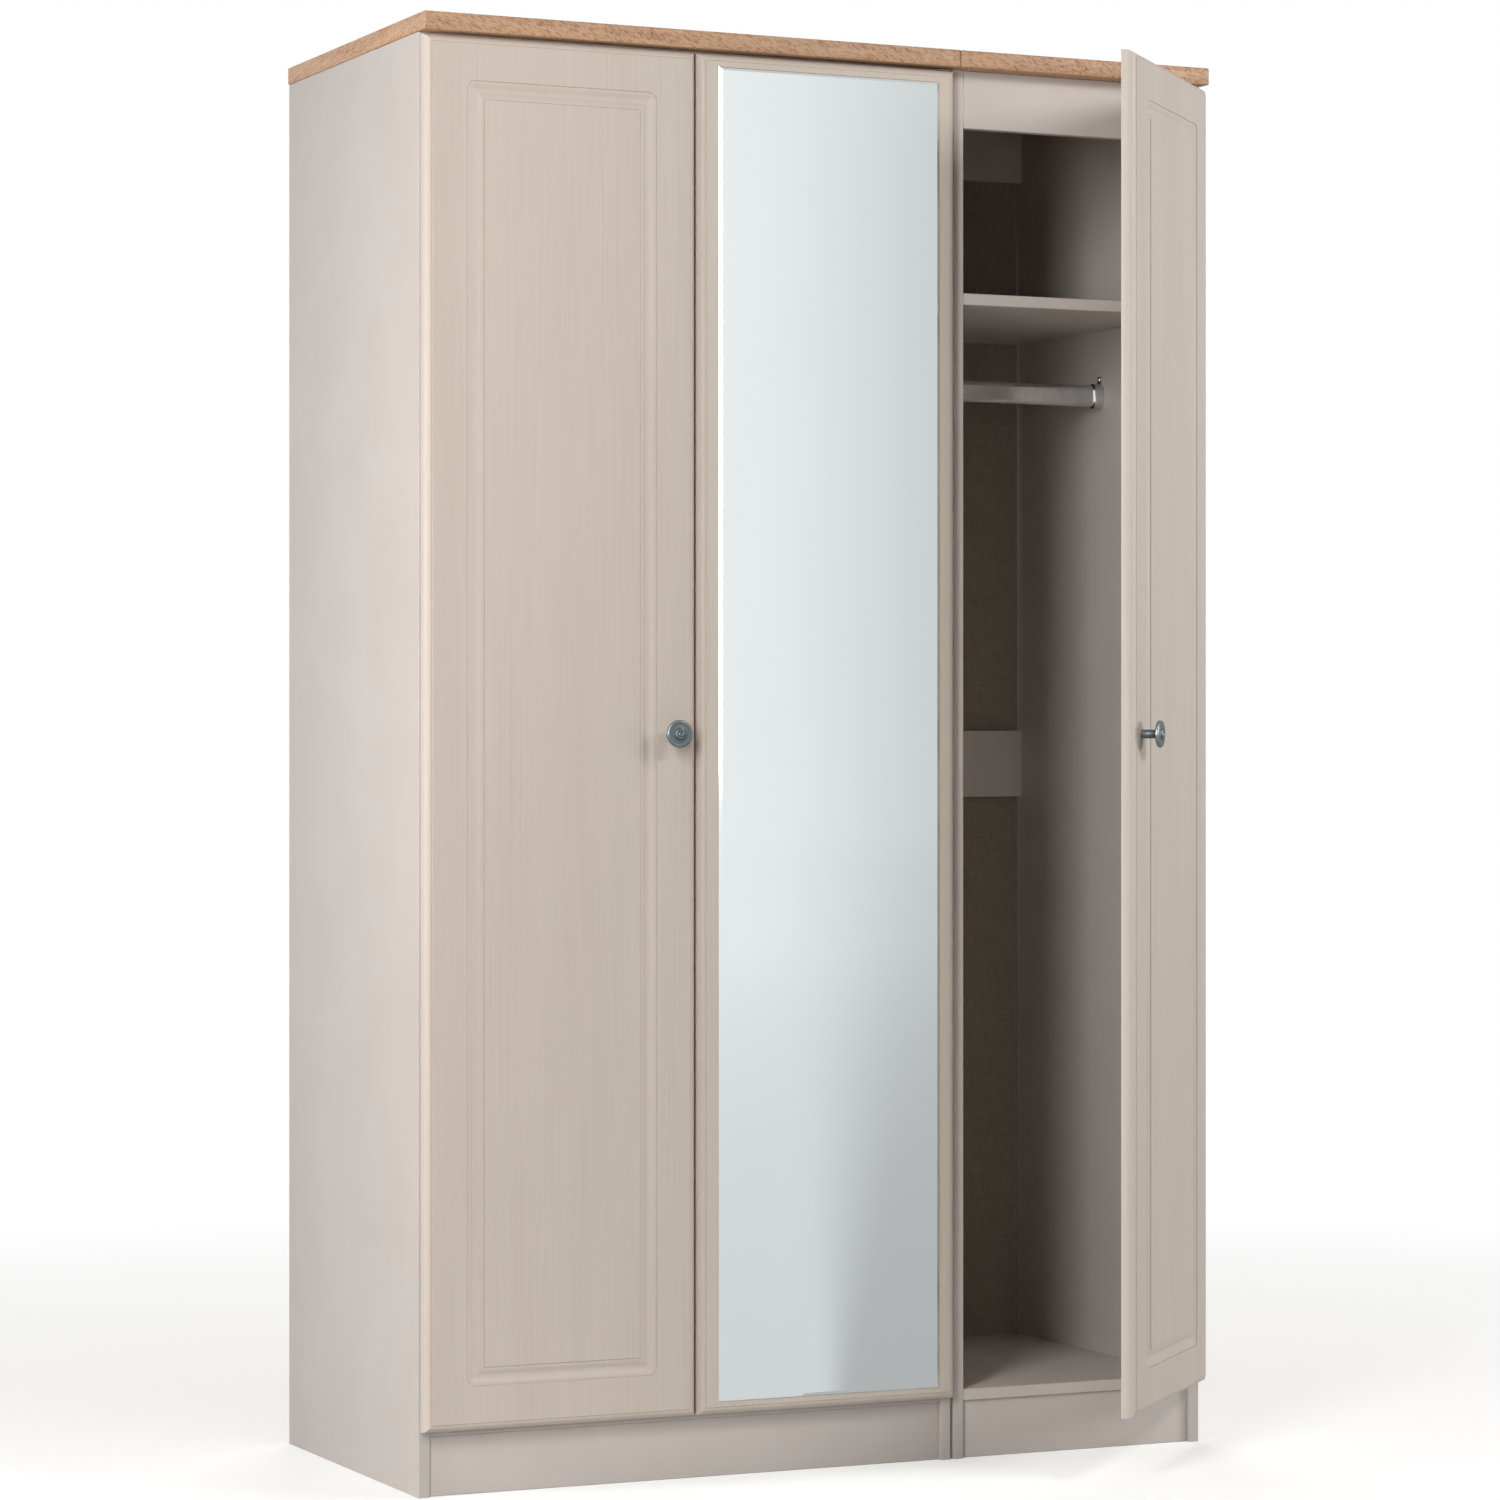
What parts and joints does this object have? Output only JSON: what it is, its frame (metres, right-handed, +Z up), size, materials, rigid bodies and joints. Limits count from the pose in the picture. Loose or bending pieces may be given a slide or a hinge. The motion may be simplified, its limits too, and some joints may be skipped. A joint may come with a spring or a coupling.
{
  "type": "wardrobe with doors",
  "caption": "Free-standing hinged-door wardrobe made of a two-door and a one-door robe side by side, with a mirror door, shelves and hanging rails.",
  "frame": {"origin": "on the floor at mid-width, under the middle of the two-door robe's front plinth rail", "axes": "+X to the right as seen from the front, +Y towards the wall behind, +Z up"},
  "size_m": [1.1102, 0.7667, 1.825],
  "materials": {
    "carcass_board": "smooth matt laminate on particle board",
    "wrapped_door": "matt vinyl wrap with fine vertical grain on MDF",
    "oak_top": "oak-grain laminate",
    "back_hardboard": "linen-textured paper on hardboard",
    "mirror": "silvered glass with a bevelled edge",
    "pewter_knob": "antique pewter plate on a zinc casting",
    "nickel_fittings": "bright nickel plate",
    "chrome_rail": "chrome-plated oval steel tube"
  },
  "bodies": {
    "carcass": {"double_left_side": "carcass_board", "double_right_side": "carcass_board", "double_plinth": "carcass_board", "double_base": "carcass_board", "double_shelf": "carcass_board", "double_fascia": "carcass_board", "double_back_rail": "carcass_board", "double_mid_batten": "carcass_board", "double_back_panel": "back_hardboard", "double_top": "oak_top", "double_hanging_rail": "chrome_rail", "double_rail_socket_left": "nickel_fittings", "double_rail_socket_right": "nickel_fittings", "single_left_side": "carcass_board", "single_right_side": "carcass_board", "single_plinth": "carcass_board", "single_base": "carcass_board", "single_shelf": "carcass_board", "single_fascia": "carcass_board", "single_back_rail": "carcass_board", "single_mid_batten": "carcass_board", "single_back_panel": "back_hardboard", "single_top": "oak_top", "single_hanging_rail": "chrome_rail", "single_rail_socket_left": "nickel_fittings", "single_rail_socket_right": "nickel_fittings", "left_hinge_arm_1": "nickel_fittings", "left_hinge_arm_2": "nickel_fittings", "left_hinge_arm_3": "nickel_fittings", "mirror_hinge_arm_1": "nickel_fittings", "mirror_hinge_arm_2": "nickel_fittings", "mirror_hinge_arm_3": "nickel_fittings", "right_hinge_arm_1": "nickel_fittings", "right_hinge_arm_2": "nickel_fittings", "right_hinge_arm_3": "nickel_fittings", "robe_bolt_1": "nickel_fittings", "robe_bolt_2": "nickel_fittings", "robe_bolt_3": "nickel_fittings", "robe_bolt_4": "nickel_fittings"},
    "left_door_leaf": {"left_door": "wrapped_door", "left_knob": "pewter_knob", "left_knob_screw": "nickel_fittings", "left_hinge_cup_1": "nickel_fittings", "left_hinge_cup_2": "nickel_fittings", "left_hinge_cup_3": "nickel_fittings"},
    "mirror_door_leaf": {"mirror_door": "wrapped_door", "mirror_glass": "mirror", "mirror_hinge_cup_1": "nickel_fittings", "mirror_hinge_cup_2": "nickel_fittings", "mirror_hinge_cup_3": "nickel_fittings"},
    "right_door_leaf": {"right_door": "wrapped_door", "right_knob": "pewter_knob", "right_knob_screw": "nickel_fittings", "right_hinge_cup_1": "nickel_fittings", "right_hinge_cup_2": "nickel_fittings", "right_hinge_cup_3": "nickel_fittings"}
  },
  "joints": [
    {"name": "left_door_swing", "type": "hinge", "parent": "carcass", "child": "left_door_leaf", "pos_m": [-0.55025, -0.0245, 0.94], "axis": [0, 0, -1], "range_deg": [0, 95]},
    {"name": "mirror_door_swing", "type": "hinge", "parent": "carcass", "child": "mirror_door_leaf", "pos_m": [0.17915, -0.0245, 0.94], "axis": [0, 0, 1], "range_deg": [0, 95]},
    {"name": "right_door_swing", "type": "hinge", "parent": "carcass", "child": "right_door_leaf", "pos_m": [0.55025, -0.0245, 0.94], "axis": [0, 0, 1], "range_deg": [-45, 50]}
  ]
}
